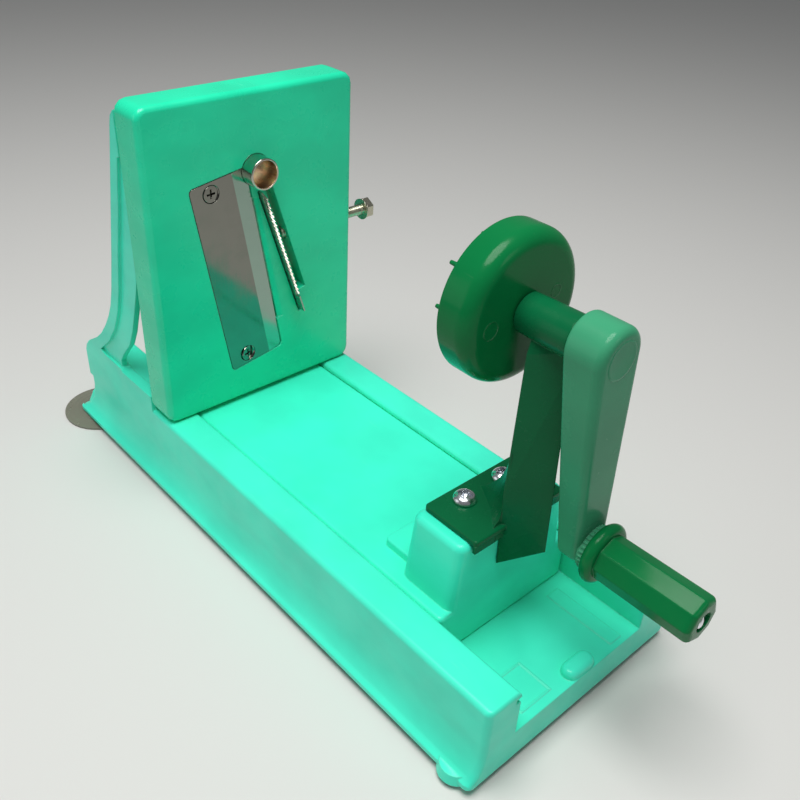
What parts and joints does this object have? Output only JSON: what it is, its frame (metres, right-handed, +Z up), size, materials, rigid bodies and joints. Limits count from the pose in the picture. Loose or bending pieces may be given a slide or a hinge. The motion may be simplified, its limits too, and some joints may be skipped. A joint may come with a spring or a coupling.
{
  "type": "crank vegetable shredder",
  "caption": "Table-top vegetable shredder: crank-turned spiked disc on a sliding carriage, upright panel with steel blade and clamped comb.",
  "frame": {"origin": "centre of the bounding box's bottom face, on the table under the middle of the tool", "axes": "+X from the blade panel towards the crank handle, +Z up from the table, +Y across the carriage rails to the operator's left when seen from the crank"},
  "size_m": [0.3784, 0.1488, 0.2047],
  "materials": {
    "mint_plastic": "semi-gloss",
    "dark_green_plastic": "semi-gloss",
    "leaf_green_plastic": "gloss",
    "sea_green_plastic": "semi-gloss",
    "clear_rubber": "glossy translucent",
    "grey_rubber": "matt",
    "pale_plastic": "satin",
    "blade_steel": "polished",
    "fastener_steel": "satin"
  },
  "bodies": {
    "base": {"base_frame": "mint_plastic", "blade_panel": "mint_plastic", "panel_screw_1": "fastener_steel", "panel_screw_2": "fastener_steel", "panel_screw_3": "fastener_steel", "panel_screw_4": "fastener_steel", "blade_plate": "blade_steel", "blade_screw_lower": "fastener_steel", "blade_screw_upper": "fastener_steel", "centre_tube": "fastener_steel", "clamp_nut": "fastener_steel", "rear_cup_left": "clear_rubber", "rear_cup_right": "clear_rubber", "front_pad_left": "grey_rubber", "front_pad_right": "grey_rubber"},
    "comb": {"comb_blade": "fastener_steel", "comb_holder": "mint_plastic"},
    "clamp": {"clamp_bolt": "fastener_steel"},
    "carriage": {"carriage": "mint_plastic", "crank_bracket": "dark_green_plastic", "bracket_screw_left": "fastener_steel", "bracket_screw_right": "fastener_steel", "rear_bush": "pale_plastic", "front_bush": "pale_plastic"},
    "crank": {"crank_shaft": "fastener_steel", "drive_disc": "leaf_green_plastic", "disc_washer": "fastener_steel", "disc_screw": "fastener_steel", "thrust_washer": "fastener_steel", "crank_arm": "sea_green_plastic", "shaft_nut": "fastener_steel", "hub_cap": "sea_green_plastic", "grip_pin": "fastener_steel", "grip_washer": "fastener_steel", "grip_screw": "fastener_steel"},
    "grip": {"grip": "leaf_green_plastic"}
  },
  "joints": [
    {"name": "carriage_slide", "type": "slide", "parent": "base", "child": "carriage", "axis": [1, 0, 0], "range_m": [-0.128, 0.035]},
    {"name": "crank_spin", "type": "hinge", "parent": "carriage", "child": "crank", "pos_m": [0.10935, 0, 0.167], "axis": [1, 0, 0], "continuous": true},
    {"name": "grip_spin", "type": "hinge", "parent": "crank", "child": "grip", "pos_m": [0.1655, 0.01005, 0.07736], "axis": [1, 0, 0], "continuous": true},
    {"name": "comb_depth", "type": "slide", "parent": "base", "child": "comb", "axis": [1, 0, 0], "range_m": [-0.0042, 0]},
    {"name": "clamp_turn", "type": "hinge", "parent": "base", "child": "clamp", "pos_m": [-0.07515, 0.07, 0.1298], "axis": [0, 1, 0], "range_deg": [0, 540]}
  ]
}
